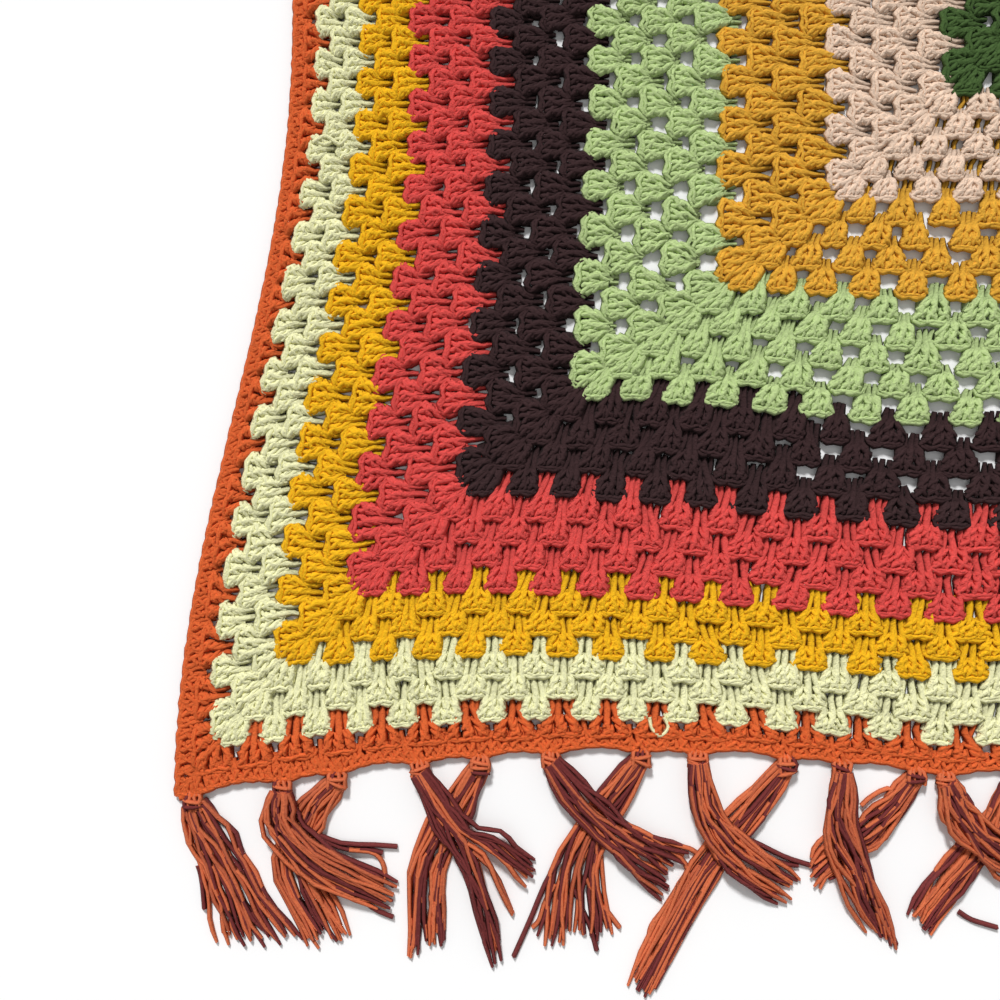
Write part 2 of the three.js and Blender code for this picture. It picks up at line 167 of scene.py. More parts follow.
mirroring = {"tassels": 11, "x": -20}


def mirroredTassel(row):
    rootX, kneeX, kneeY, shinX, shinY, oneX, oneY, twoX, twoY, over = row
    flip = 2 * mirroring["x"]
    return (flip - rootX, flip - kneeX, kneeY, flip - shinX, shinY,
            flip - twoX, twoY, flip - oneX, oneY, over)


footRows = tasselRows + [mirroredTassel(row) for row in tasselRows[:mirroring["tassels"]][::-1]]


def footPlaceAt(x):
    t = np.linspace(-1, 1, 4001)
    return float(np.interp(x, footPoint(np.full(t.shape, float(rounds)), t)[:, 0], t))


knotPlaces = np.array([-1.0] + [footPlaceAt(row[0]) for row in footRows] + [1.0])


def edgeBow(u, v):
    r = np.maximum(np.abs(u), np.abs(v))
    t = np.where(v < 0, u, -u) / np.maximum(r, 1e-6)
    span = np.searchsorted(knotPlaces, np.clip(t, -0.9999, 0.9999)).clip(1, len(knotPlaces) - 1)
    low, high = knotPlaces[span - 1], knotPlaces[span]
    share = np.clip((t - low) / (high - low), 0, 1)
    width = (high - low) / 2 * atRound(rounds, "cornerX") * (1 + layout["farCorner"])
    last = np.clip(r - (rounds - 1), 0, layout["archDepth"])
    onFoot = (np.abs(v) >= np.abs(u)) * last
    return onFoot * width * layout["edgeArch"] * 4 * share * (1 - share) * np.where(v < 0, 1, -1)


def laid(u, v, z):
    xy = layOut(u, v)
    xy[..., 1] += edgeBow(u, v)
    return np.concatenate([xy, np.broadcast_to(z, u.shape)[..., None]], axis=-1) * mm


def socketIn(tree, name, kind, value=None):
    made = tree.interface.new_socket(name=name, in_out="INPUT", socket_type=kind)
    if value is not None:
        made.default_value = value


def socketOut(tree, name, kind):
    tree.interface.new_socket(name=name, in_out="OUTPUT", socket_type=kind)


def setOrLink(tree, value, socket):
    if isinstance(value, (int, float, tuple)):
        socket.default_value = value
    else:
        tree.links.new(value, socket)


# step adds one math node to the tree, from numbers or from what other nodes give.
def mathIn(tree):
    def step(kind, *values):
        node = tree.nodes.new("ShaderNodeMath")
        node.operation = kind
        for value, socket in zip(values, node.inputs):
            setOrLink(tree, value, socket)
        return node.outputs[0]

    return step


def rangeIn(tree, value, fromMin, fromMax, toMin=0.0, toMax=1.0):
    node = tree.nodes.new("ShaderNodeMapRange")
    for given, socket in zip((value, fromMin, fromMax, toMin, toMax), node.inputs):
        setOrLink(tree, given, socket)
    return node.outputs["Result"]


def noiseIn(tree, place, scale, detail, roughness=0.5, distortion=0.0):
    node = tree.nodes.new("ShaderNodeTexNoise")
    tree.links.new(place, node.inputs["Vector"])
    values = {"Scale": scale, "Detail": detail, "Roughness": roughness, "Distortion": distortion}
    for name, value in values.items():
        node.inputs[name].default_value = value
    return node.outputs["Fac"]


def splitIn(tree, vector):
    node = tree.nodes.new("ShaderNodeSeparateXYZ")
    tree.links.new(vector, node.inputs["Vector"])
    return node.outputs


def valueAt(tree, name):
    node = tree.nodes.new("GeometryNodeInputNamedAttribute")
    node.data_type = "FLOAT"
    node.inputs["Name"].default_value = name
    return node.outputs["Attribute"]


def storeAt(tree, geometry, name, value, kind, domain):
    node = tree.nodes.new("GeometryNodeStoreNamedAttribute")
    node.data_type, node.domain = kind, domain
    node.inputs["Name"].default_value = name
    tree.links.new(geometry, node.inputs["Geometry"])
    tree.links.new(value, node.inputs["Value"])
    return node.outputs["Geometry"]


# A strand is a line of mesh edges that knows its thickness and the length run so far at each point. The
# tree sweeps a ring of few sides along it. U is that length in metres, and V is 0 to 1 round the yarn.
tube = {"sides": 3, "startBelow": 0.01, "lastFaceAbove": 0.25, "twistShift": 0.37}


def buildYarnTubes():
    tree = bpy.data.node_groups.new("yarnTubes", "GeometryNodeTree")
    socketIn(tree, "Geometry", "NodeSocketGeometry")
    socketIn(tree, "Sides", "NodeSocketInt", tube["sides"])
    socketIn(tree, "Thickness", "NodeSocketFloat", 1.0)
    socketIn(tree, "Section", "NodeSocketVector", (1, 1, 1))
    socketIn(tree, "Finish", "NodeSocketMaterial")
    socketOut(tree, "Geometry", "NodeSocketGeometry")
    new, link, step = tree.nodes.new, tree.links.new, mathIn(tree)
    given, result = new("NodeGroupInput"), new("NodeGroupOutput")
    rails = new("GeometryNodeMeshToCurve")
    link(given.outputs["Geometry"], rails.inputs["Mesh"])
    upright = new("GeometryNodeSetCurveNormal")
    upright.mode = "Z_UP"
    link(rails.outputs["Curve"], upright.inputs["Curve"])
    ring = new("GeometryNodeCurvePrimitiveCircle")
    ring.inputs["Radius"].default_value = 1.0
    link(given.outputs["Sides"], ring.inputs["Resolution"])
    pressed = new("GeometryNodeTransform")
    link(ring.outputs["Curve"], pressed.inputs["Geometry"])
    pressed.inputs["Rotation"].default_value = (0, 0, -math.pi / 2)  # a corner of the ring on top
    link(given.outputs["Section"], pressed.inputs["Scale"])
    factor = new("GeometryNodeSplineParameter").outputs["Factor"]
    profile = storeAt(tree, pressed.outputs["Geometry"], "around", factor, "FLOAT", "POINT")
    swept = new("GeometryNodeCurveToMesh")
    swept.inputs["Fill Caps"].default_value = True
    link(upright.outputs["Curve"], swept.inputs["Curve"])
    link(step("MULTIPLY", valueAt(tree, "thick"), given.outputs["Thickness"]), swept.inputs["Scale"])
    link(profile, swept.inputs["Profile Curve"])
    smooth = new("GeometryNodeSetShadeSmooth")
    link(swept.outputs["Mesh"], smooth.inputs["Geometry"])
    around = valueAt(tree, "around")
    faceMean = new("GeometryNodeFieldOnDomain")
    faceMean.domain, faceMean.data_type = "FACE", "FLOAT"
    link(around, faceMean.inputs["Value"])
    atStart = step("LESS_THAN", around, tube["startBelow"])
    lastFace = step("GREATER_THAN", faceMean.outputs["Value"], tube["lastFaceAbove"])
    wrapped = step("MULTIPLY_ADD", atStart, lastFace, around)  # a ring's last face ends at 1, not 0
    place = new("ShaderNodeCombineXYZ")
    link(valueAt(tree, "along"), place.inputs["X"])
    link(wrapped, place.inputs["Y"])
    mapped = storeAt(tree, smooth.outputs["Geometry"], "UVMap", place.outputs["Vector"], "FLOAT2", "CORNER")
    realized = new("GeometryNodeRealizeInstances")
    link(mapped, realized.inputs["Geometry"])
    finished = new("GeometryNodeSetMaterial")
    link(realized.outputs["Geometry"], finished.inputs["Geometry"])
    link(given.outputs["Finish"], finished.inputs["Material"])
    link(finished.outputs["Geometry"], result.inputs["Geometry"])
    return tree


yarnTubes = buildYarnTubes()


# A piece of yarn from blocks of like strands: their lines and radii in metres, a tint for each, and how
# much of the yarn's other colour each one has.
def yarnPiece(name, strands, finish, section):
    points, thick, along, tint, tone, edges = [], [], [], [], [], []
    start = 0
    for line, radius, shade, hue in strands:
        count, steps = line.shape[:2]
        step = np.linalg.norm(np.diff(line, axis=1), axis=2)
        run = np.concatenate([np.zeros((count, 1)), np.cumsum(step, axis=1)], axis=1)
        points.append(line.reshape(-1, 3))
        thick.append(np.broadcast_to(radius, (count, steps)).ravel())
        shade = np.broadcast_to(shade if shade.ndim == 2 else shade[:, None], (count, steps))
        along.append((run + shade[:, :1] * tube["twistShift"]).ravel())  # no two twists line up
        tint.append(shade.ravel())
        tone.append(np.repeat(hue, steps))
        index = start + np.arange(count * steps).reshape(count, steps)
        edges.append(np.stack([index[:, :-1], index[:, 1:]], axis=-1).reshape(-1, 2))
        start += count * steps
    points, edges = np.concatenate(points), np.concatenate(edges)
    mesh = bpy.data.meshes.new(name + "_rails")
    mesh.vertices.add(len(points))
    mesh.vertices.foreach_set("co", points.astype(np.float32).ravel())
    mesh.edges.add(len(edges))
    mesh.edges.foreach_set("vertices", edges.astype(np.int32).ravel())
    for label, values in (("thick", thick), ("along", along), ("tint", tint), ("tone", tone)):
        kept = mesh.attributes.new(label, "FLOAT", "POINT")
        kept.data.foreach_set("value", np.concatenate(values).astype(np.float32))
    mesh.update()
    rails = addToScene(name + "_rails", mesh)
    modifier = rails.modifiers.new("yarnTubes", "NODES")
    modifier.node_group = yarnTubes
    names = {item.name: item.identifier for item in yarnTubes.interface.items_tree
             if item.in_out == "INPUT"}
    modifier[names["Sides"]] = tube["sides"]
    modifier[names["Section"]] = section
    modifier[names["Finish"]] = finish
    graph = bpy.context.evaluated_depsgraph_get()
    plain = bpy.data.meshes.new_from_object(rails.evaluated_get(graph))
    plain.name = name
    for label in ("thick", "along", "around"):
        if label in plain.attributes:
            plain.attributes.remove(plain.attributes[label])
    bpy.data.objects.remove(rails)
    bpy.data.meshes.remove(mesh)
    return addToScene(name, plain)


# The groove, pit and recess values set painted shade in the yarn's colour: in the grooves and curl pits, and
# low down between the stitches.
yarnFinish = {
    "roughness": 0.95, "specular": 0.25, "plies": 3.0, "twists": 95.0, "plyHeight": 0.10, "fibres": 0.30,
    "curls": 1.0, "softness": 0.7, "grooveShadeStrength": 0.22, "recessShadeStrength": 0.40, "bump": 0.75,
    "bumpReach": 0.0011, "plyRound": 0.55, "fluffScale": 1250.0, "curlScale": 360.0, "curlPitShade": 3.0,
    "plyGrooveShade": 0.3, "patchScale": 22.0, "recessShadeFrom": 0.0010, "recessShadeTo": 0.0034, "leastSoft": 0.25,
    "softFrom": -0.1, "softTo": 0.35,
}


# The twist of the plies, the fibres and the small curls, as a height, and a mask of the grooves between the
# plies and the low spots of the curls, which gets painted shade in the yarn's colour.
def buildPlyTwist():
    tree = bpy.data.node_groups.new("plyTwist", "ShaderNodeTree")
    for name, value in (("Plies", 3.0), ("Twists per metre", 95.0), ("Ply height", 0.1),
                        ("Fibres", 0.3), ("Curls", 1.0)):
        socketIn(tree, name, "NodeSocketFloat", value)
    socketIn(tree, "UV", "NodeSocketVector")
    socketIn(tree, "Place", "NodeSocketVector")
    socketOut(tree, "Height", "NodeSocketFloat")
    socketOut(tree, "Groove", "NodeSocketFloat")
    new, link, step = tree.nodes.new, tree.links.new, mathIn(tree)
    given, result = new("NodeGroupInput").outputs, new("NodeGroupOutput").inputs
    spot = splitIn(tree, given["UV"])
    turn = step("MULTIPLY_ADD", spot["X"], given["Twists per metre"], spot["Y"])
    phase = step("MULTIPLY", step("MULTIPLY", turn, given["Plies"]), math.pi)
    ridge = step("ABSOLUTE", step("SINE", phase))
    ply = step("POWER", ridge, yarnFinish["plyRound"])
    fluff = noiseIn(tree, given["Place"], yarnFinish["fluffScale"], detail=3.0, roughness=0.65)
    curl = noiseIn(tree, given["Place"], yarnFinish["curlScale"], detail=1.5, distortion=1.4)
    fibre = step("MULTIPLY", fluff, given["Fibres"])
    curled = step("MULTIPLY", curl, given["Curls"])
    wound = step("MULTIPLY", ply, given["Ply height"])
    link(step("ADD", step("ADD", wound, fibre), curled), result["Height"])
    # painted shade: the low spots of the curls and the clefts between the plies make the Groove mask that
    # darkens the colour
    low = step("MAXIMUM", step("SUBTRACT", 0.5, curl), 0.0)
    pit = step("MULTIPLY", low, yarnFinish["curlPitShade"])
    cleft = step("MULTIPLY", step("SUBTRACT", 1.0, ply), yarnFinish["plyGrooveShade"])
    link(step("ADD", cleft, pit), result["Groove"])
    return tree


# The yarn's colour, a little different from strand to strand and place to place, and darkened by painted
# shade in the grooves and low down between the stitches.
def buildYarnShade():
    tree = bpy.data.node_groups.new("yarnShade", "ShaderNodeTree")
    socketIn(tree, "Color", "NodeSocketColor", (1, 1, 1, 1))
    for name, value in (("Groove", 0.0), ("Groove shade strength", 0.35), ("Recess shade strength", 0.4),
                        ("Strand tint", 0.5), ("Strand change", 0.12), ("Patch change", 0.10)):
        socketIn(tree, name, "NodeSocketFloat", value)
    socketIn(tree, "Place", "NodeSocketVector")
    socketOut(tree, "Color", "NodeSocketColor")
    new, link, step = tree.nodes.new, tree.links.new, mathIn(tree)
    given, result = new("NodeGroupInput").outputs, new("NodeGroupOutput").inputs
    patch = noiseIn(tree, given["Place"], yarnFinish["patchScale"], detail=4.0)
    strand = step("MULTIPLY", step("SUBTRACT", given["Strand tint"], 0.5), given["Strand change"])
    slow = step("MULTIPLY", step("SUBTRACT", patch, 0.5), given["Patch change"])
    # painted shade in the grooves
    deep = step("MULTIPLY", given["Groove"], given["Groove shade strength"])
    height = splitIn(tree, given["Place"])["Z"]
    # painted shade low down between the stitches, full at the lowest heights and fading out higher up
    recessShadeMask = rangeIn(tree, height, yarnFinish["recessShadeFrom"], yarnFinish["recessShadeTo"], 1.0, 0.0)
    recessShadeFactor = step("SUBTRACT", 1.0, step("MULTIPLY", recessShadeMask, given["Recess shade strength"]))
    lit = step("ADD", step("ADD", strand, slow), 1.0)
    value = step("MULTIPLY", step("SUBTRACT", lit, deep), recessShadeFactor)
    tinted = new("ShaderNodeHueSaturation")
    link(given["Color"], tinted.inputs["Color"])
    link(value, tinted.inputs["Value"])
    link(tinted.outputs["Color"], result["Color"])
    return tree


# Soft yarn shows little light and shade of its own on top, so its normal leans up there, and more so
# low down between the stitches.
def buildSoftNormal():
    tree = bpy.data.node_groups.new("softNormal", "ShaderNodeTree")
    for name, value in (("Softness", 0.5), ("Low", 0.003), ("High", 0.005)):
        socketIn(tree, name, "NodeSocketFloat", value)
    socketIn(tree, "Place", "NodeSocketVector")
    socketOut(tree, "Normal", "NodeSocketVector")
    new, link, step = tree.nodes.new, tree.links.new, mathIn(tree)
    given, result = new("NodeGroupInput").outputs, new("NodeGroupOutput").inputs
    height = splitIn(tree, given["Place"])["Z"]
    deep = rangeIn(tree, height, given["Low"], given["High"], 1.0, yarnFinish["leastSoft"])
    normal = new("ShaderNodeNewGeometry").outputs["Normal"]
    upper = rangeIn(tree, splitIn(tree, normal)["Z"], yarnFinish["softFrom"], yarnFinish["softTo"])
    share = step("MULTIPLY", step("MULTIPLY", deep, upper), given["Softness"])
    mix = new("ShaderNodeMix")
    mix.data_type = "VECTOR"
    link(share, mix.inputs[0])
    link(normal, mix.inputs[4])  # 4 and 5 are the two vectors
    mix.inputs[5].default_value = (0, 0, 1)
    unit = new("ShaderNodeVectorMath")
    unit.operation = "NORMALIZE"
    link(mix.outputs[1], unit.inputs[0])
    link(unit.outputs[0], result["Normal"])
    return tree


plyTwist, yarnShade, softNormal = buildPlyTwist(), buildYarnShade(), buildSoftNormal()


def attributeIn(tree, name):
    node = tree.nodes.new("ShaderNodeAttribute")
    node.attribute_name = name
    return node.outputs["Fac"]


def groupIn(tree, group, values):
    node = tree.nodes.new("ShaderNodeGroup")
    node.node_tree = group
    for name, value in values.items():
        setOrLink(tree, value, node.inputs[name])
    return node.outputs


def yarnMaterial(name, color, otherColor=None, curls=1.0, softness=1.0):
    material = bpy.data.materials.new(name)
    material.use_nodes = True
    tree = material.node_tree
    new, link = tree.nodes.new, tree.links.new
    shader = tree.nodes["Principled BSDF"]
    uv = new("ShaderNodeUVMap")
    uv.uv_map = "UVMap"
    place = new("ShaderNodeTexCoord").outputs["Object"]
    twist = groupIn(tree, plyTwist, {
        "UV": uv.outputs["UV"], "Place": place, "Plies": yarnFinish["plies"],
        "Twists per metre": yarnFinish["twists"], "Ply height": yarnFinish["plyHeight"],
        "Fibres": yarnFinish["fibres"], "Curls": yarnFinish["curls"] * curls})
    ownColor = (*color, 1)
    if otherColor is not None:
        mix = new("ShaderNodeMix")
        mix.data_type = "RGBA"
        link(attributeIn(tree, "tone"), mix.inputs[0])
        mix.inputs[6].default_value = ownColor  # 6 and 7 are the two colours
        mix.inputs[7].default_value = (*otherColor, 1)
        ownColor = mix.outputs[2]
    # painted shade in the grooves and low down between the stitches; a softness of 0, as the tassels have,
    # leaves out the painted shade low down
    shade = groupIn(tree, yarnShade, {
        "Color": ownColor, "Place": place, "Strand tint": attributeIn(tree, "tint"),
        "Groove": twist["Groove"], "Groove shade strength": yarnFinish["grooveShadeStrength"],
        "Recess shade strength": yarnFinish["recessShadeStrength"] * softness})
    link(shade["Color"], shader.inputs["Base Color"])
    bump = new("ShaderNodeBump")
    bump.inputs["Strength"].default_value = yarnFinish["bump"]
    bump.inputs["Distance"].default_value = yarnFinish["bumpReach"]
    link(twist["Height"], bump.inputs["Height"])
    soft = groupIn(tree, softNormal, {"Softness": yarnFinish["softness"] * softness, "Place": place})
    link(soft["Normal"], bump.inputs["Normal"])
    link(bump.outputs["Normal"], shader.inputs["Normal"])
    shader.inputs["Roughness"].default_value = yarnFinish["roughness"]
    shader.inputs["Specular IOR Level"].default_value = yarnFinish["specular"]
    return material


# A cluster is three stitches. Its strands are given from its outer edge (depth 0, in rounds) inwards:
# depth, aside of the stitch's own line, height in mm, and thickness as a share of the yarn's. The last
# two depths of a leg count from the cluster's reach. fan is how far the outer stitches stand from the
# middle one at each of fanDepths, and a leg at the back is laid where the reach is over backFrom.
crochet = {
    "yarnRadius": 1.45, "section": (0.82, 1.18, 1.0), "seed": 12,
    "fanDepths": (0.0, 0.45, 0.80, 1.20, 1.95), "fan": (0.43, 0.43, 0.36, 0.0, 0.10), "neckOver": 0.4,
    "sideNeck": 0.05, "sideDepth": 1.20, "sideRecess": 0.5, "sideWidth": 0.85, "shoulder": 0.09,
    "cornerLean": 0.30, "tilt": 0.10, "reachFade": 0.15, "backFrom": 1.6,
    "wander": 0.035, "turn": 0.07, "swell": 0.06, "lift": 0.2, "bend": 0.03, "reachChange": 0.05,
    "depthChange": 0.02, "heightChange": 0.15, "widthChange": 0.07,
}
legOver = [(0.06, 0.10, 3.4, 0.95), (0.26, 0.13, 4.4, 1.20), (0.50, -0.03, 4.4, 1.35),
           (0.92, -0.05, 3.0, 1.65), (-0.42, 0.0, 1.5, 1.60), (0.02, 0.0, 0.8, 0.80)]
legUnder = [(0.07, -0.11, 3.1, 0.95), (0.32, -0.14, 3.6, 1.25), (0.66, 0.08, 3.0, 1.25),
            (1.10, 0.10, 1.7, 0.90)]
legWrap = [(0.15, -0.20, 3.4, 0.80), (0.28, -0.09, 4.7, 1.05), (0.44, 0.15, 4.6, 1.05),
           (0.66, 0.20, 3.0, 0.70)]
legCurl = [(0.52, -0.18, 3.3, 0.70), (0.63, -0.10, 4.5, 1.00), (0.78, 0.05, 4.4, 1.00),
           (0.98, 0.13, 2.7, 0.70)]
legBack = [(0.50, 0.12, 1.0, 1.10), (-0.70, 0.22, 0.9, 1.40), (-0.06, 0.28, 0.8, 1.10)]
rimStrands = [
    [(0.28, -0.70, 1.8, 0.70), (0.09, -0.60, 3.4, 1.00), (-0.03, -0.36, 4.0, 1.10),
     (0.04, -0.06, 3.6, 1.00), (-0.04, 0.27, 4.0, 1.10), (0.08, 0.60, 3.4, 1.00),
     (0.28, 0.70, 1.8, 0.70)],
    [(0.28, -0.62, 2.4, 0.70), (0.10, -0.45, 4.1, 0.85), (0.04, -0.17, 4.6, 0.90),
     (0.12, 0.11, 4.3, 0.85), (0.04, 0.40, 4.6, 0.90), (0.26, 0.62, 2.4, 0.70)],
]
yarnThick = crochet["yarnRadius"] * mm  # the radius in metres


# A smooth line through the stops, as a centripetal Catmull-Rom curve, so close stops make no loops.
def routeThrough(stops, count):
    stops = np.array(stops, float)
    padded = np.concatenate([[2 * stops[0] - stops[1]], stops, [2 * stops[-1] - stops[-2]]])
    made = []
    for t in np.linspace(0, len(stops) - 1, count):
        i = min(int(t), len(stops) - 2)
        p = padded[i:i + 4]
        gaps = np.maximum(np.linalg.norm(np.diff(p, axis=0), axis=1) ** 0.5, 1e-4)
        knots = np.concatenate([[0], np.cumsum(gaps)])
        x = knots[1] + (t - i) * (knots[2] - knots[1])
        a = [((knots[j + 1] - x) * p[j] + (x - knots[j]) * p[j + 1]) / (knots[j + 1] - knots[j])
             for j in range(3)]
        b = [((knots[j + 2] - x) * a[j] + (x - knots[j]) * a[j + 1]) / (knots[j + 2] - knots[j])
             for j in range(2)]
        made.append(((knots[2] - x) * b[0] + (x - knots[1]) * b[1]) / (knots[2] - knots[1]))
    return np.array(made)


# Round k has k clusters on each side. A row is its round, its side and where its middle is across.
def clustersOf(firstRound, lastRound):
    rows = [(k, side, -(k - 1) + 2 * j)
            for k in range(firstRound, lastRound + 1) for side in range(4) for j in range(k)]
    table = np.array(rows, float)
    return table[:, 0], table[:, 1].astype(int), table[:, 2]


def reachOf(row, side, share):
    looser = np.clip((row.get("looseTo", 0) - share) / crochet["reachFade"] + 0.5, 0, 1)
    foot = row["footReach"] + (row.get("looseReach", row["footReach"]) - row["footReach"]) * looser
    return np.where(side % 2 == 0, foot, row["sideReach"])


# The upper legs of the outer stitches come back first, and all the rest of the yarn second.
def clusterStrands(row, firstRound, random):
    k, side, middle = clustersOf(firstRound, min(row["lastRound"], rounds - 1))
    count, onSide = len(k), side % 2 == 1
    shift = random.normal(0, crochet["wander"], (count, 2))
    turn = random.normal(0, crochet["turn"], count)
    swell = 1 + random.normal(0, crochet["swell"], count)
    lift = random.normal(0, crochet["lift"], count)
    uneven = row.get("uneven", crochet["reachChange"])
    reach = reachOf(row, side, np.abs(middle) / k) + random.normal(0, uneven, count)
    reach = np.where((k == firstRound) & onSide, np.maximum(reach, row.get("firstReach", 0)), reach)
    corner = np.sign(middle) * (np.abs(middle) >= k - 1) * (k > 1)
    lean = turn - corner * crochet["cornerLean"]
    neck = row["neck"] + np.where(onSide, crochet["sideNeck"], 0)[:, None]
    spread = np.where(onSide, row["sideSpread"], row["spread"])[:, None]
    bodyDepth = np.where(onSide, crochet["sideDepth"], 1.0)[:, None]

    def fanAt(depth):
        body = np.interp(depth, crochet["fanDepths"], crochet["fan"])
        share = np.clip((depth - crochet["fanDepths"][2]) / crochet["neckOver"], 0, 1)
        return body * spread + neck * share

    def placed(depth, aside, height):
        across = middle[:, None] + shift[:, :1] + aside * swell[:, None] + lean[:, None] * depth
        out = k[:, None] + shift[:, 1:] - depth + crochet["tilt"] * aside * turn[:, None]
        u, v = roundPlace(side, across, out)
        return laid(u, v, np.maximum(height + lift[:, None], crochet["yarnRadius"]))

    def strandOf(path, stitch, flip, kept, setBack=0.0):
        table, shape = np.array(path), (count, len(path))
        depth = table[:, 0] * bodyDepth + random.normal(0, crochet["depthChange"], shape)
        depth[:, 0] += setBack
        height = table[:, 2] + random.normal(0, crochet["heightChange"], shape)
        width = table[:, 3] * (1 + random.normal(0, crochet["widthChange"], shape))
        if path in (legOver, legBack):
            depth[:, -2:] = (table[-2:, 0] + reach[:, None]
                             + random.normal(0, crochet["depthChange"], (count, 2)))
        if path is legOver:
            height[onSide, -2] -= crochet["sideRecess"]
            width[onSide, -2] *= crochet["sideWidth"]
        bend = random.normal(0, crochet["bend"], shape)
        line = placed(depth, stitch * fanAt(depth) + table[:, 1] * flip[:, None] + bend, height)
        thick = yarnThick * width
        used = reach > crochet["backFrom"] if path is legBack else np.full(count, True)
        kept.append((line[used], thick[used], random.random(used.sum()), np.zeros(used.sum())))

    overs, unders = [], []
    for stitch in (-1, 0, 1):
        flip = np.full(count, float(-stitch)) if stitch else random.choice([-1.0, 1.0], count)
        setBack = crochet["shoulder"] * abs(stitch)
        strandOf(legOver, stitch, flip, overs if stitch else unders, setBack)
        strandOf(legUnder, stitch, flip, unders, setBack)
        strandOf(legWrap, stitch, flip, unders)
        strandOf(legCurl, stitch, flip, unders)
        if stitch:
            strandOf(legBack, stitch, -flip, unders)
    for path in rimStrands:
        strandOf(path, 0, spread[:, 0], unders)
    return overs, unders


# Loose bits of yarn on the cloth: the yarn, a height and the stops of the route, in mm.
looseEnds = [
    ("cream", 4.6, -190, -344, -189, -349, -185, -353, -181, -349, -183, -344),
    ("cream", 4.8, -352, -66, -346, -70, -339, -67, -333, -69),
    ("cream", 5.6, -351, -69, -345, -66, -338, -70, -334, -66),
    ("light_green", 2.2, -217, -34, -222, -35, -223, -38, -217, -40),
]
loose = {"steps": 12, "thick": 0.8}


# heights are the shares of the way, and the heights there.
def loneStrand(stops, heights, steps, radius, tone, random):
    path = routeThrough(np.array(stops).reshape(-1, 2), steps) * mm
    z = np.interp(np.linspace(0, 1, steps), *heights) * mm
    line = np.concatenate([path, z[:, None]], axis=1)[None]
    return line, np.full((1, steps), radius), random.random(1), np.array([tone])


def looseStrands(yarn, random):
    radius = yarnThick * loose["thick"]
    return [loneStrand(stops, ([0, 1], [height, height]), loose["steps"], radius, 0.0, random)
            for kind, height, *stops in looseEnds if kind == yarn]


# Strands of mustard that lie low in the open spaces of these rounds at the foot.
woven = {
    "yarn": "mustard", "rounds": (5, 6, 7, 8, 9), "perSpace": 3, "spaceWidth": 1.1,
    "depths": (0.20, 0.75, 1.30, 1.85), "height": 1.1, "thick": 0.9, "wander": (0.10, 0.06),
}


def wovenStrands(random):
    made = []
    for k in woven["rounds"]:
        middle = np.arange(-k + 2, k - 1, 2, dtype=float)
        shape = (len(middle), len(woven["depths"]))
        for n in range(woven["perSpace"]):
            aside = ((n + 0.5) / woven["perSpace"] - 0.5) * woven["spaceWidth"]
            across = middle[:, None] + aside + random.normal(0, woven["wander"][0], shape)
            out = k - np.array(woven["depths"]) + random.normal(0, woven["wander"][1], shape)
            u, v = roundPlace(np.zeros(len(middle), int), across, out)
            line = laid(u, v, np.full(shape, woven["height"]))
            thick = np.full(shape, yarnThick * woven["thick"])
            made.append((line, thick, random.random(len(middle)), np.zeros(len(middle))))
    return made


# The last round is close posts, each with a strand behind and a wrap, under a plaited rim. A stop of a
# post is its depth from the edge, aside of the post's line and height in mm.
edging = {
    "perUnit": 2.1, "thick": 1.25, "wrapThick": 0.72, "wander": 0.04, "heightChange": 0.2,
    "posts": ((0.10, 0.16, 3.2), (0.45, 0.10, 3.4), (0.85, -0.03, 3.1), (1.45, -0.10, 2.0)),
    "behind": ((0.10, -0.06, 2.9), (0.45, -0.14, 3.0), (0.85, -0.24, 2.8), (1.72, -0.30, 1.5)),
    "wraps": ((0.34, -0.16, 3.5), (0.58, -0.02, 4.2), (0.84, 0.14, 3.4)),
    "rimThick": 1.10, "rimDepth": 0.10, "rimWave": 0.085, "rimTurns": 0.7, "rimHeight": 3.1,
    "rimRise": 0.45, "rimWander": 0.015, "rimEnd": 0.15,
}


def postStrands(path, share, side, random):
    number = int(2 * rounds * edging["perUnit"])
    middle = -rounds + (np.arange(number) + 0.5) / edging["perUnit"]
    depth, aside, height = np.array(edging[path]).T
    shape = (number, len(depth))
    across = middle[:, None] + aside + random.normal(0, edging["wander"], shape)
    out = rounds - depth + random.normal(0, edging["wander"], shape)
    u, v = roundPlace(np.full(number, side), np.clip(across, -out, out), out)
    z = height + random.normal(0, edging["heightChange"], shape)
    wide = np.full(shape, yarnThick * edging["thick"] * share)
    return laid(u, v, z), wide, random.random(number), np.zeros(number)


def rimStrand(phase, side, random):
    steps = int(2 * rounds * edging["perUnit"]) * 2
    along = np.linspace(-rounds + edging["rimEnd"], rounds - edging["rimEnd"], steps)
    wave = along * edging["perUnit"] * math.pi * edging["rimTurns"] + phase
    sway = edging["rimWave"] * np.sin(wave) + random.normal(0, edging["rimWander"], steps)
    out = rounds - edging["rimDepth"] + sway
    u, v = roundPlace(np.array([side]), np.clip(along, -out, out)[None], out[None])
    z = edging["rimHeight"] + edging["rimRise"] * np.cos(wave)
    wide = np.full((1, steps), yarnThick * edging["rimThick"])
    return laid(u, v, z[None]), wide, random.random(1), np.zeros(1)


def edgingStrands(random):
    overs, unders = [], []
    for side in range(4):
        overs.append(postStrands("posts", 1.0, side, random))
        unders.append(postStrands("behind", 1.0, side, random))
        unders.append(postStrands("wraps", edging["wrapThick"], side, random))
        unders += [rimStrand(phase, side, random) for phase in (0, math.pi)]
    return overs, unders


def sideLine(side, r):
    t = np.linspace(-1, 1, 200)
    u, v = roundPlace(np.array([side]), (t * r)[None], np.full((1, 200), float(r)))
    return layOut(u, v)[0]


def perimeterAt(r):
    return sum(np.linalg.norm(np.diff(sideLine(side, r), axis=0), axis=1).sum() for side in range(4))


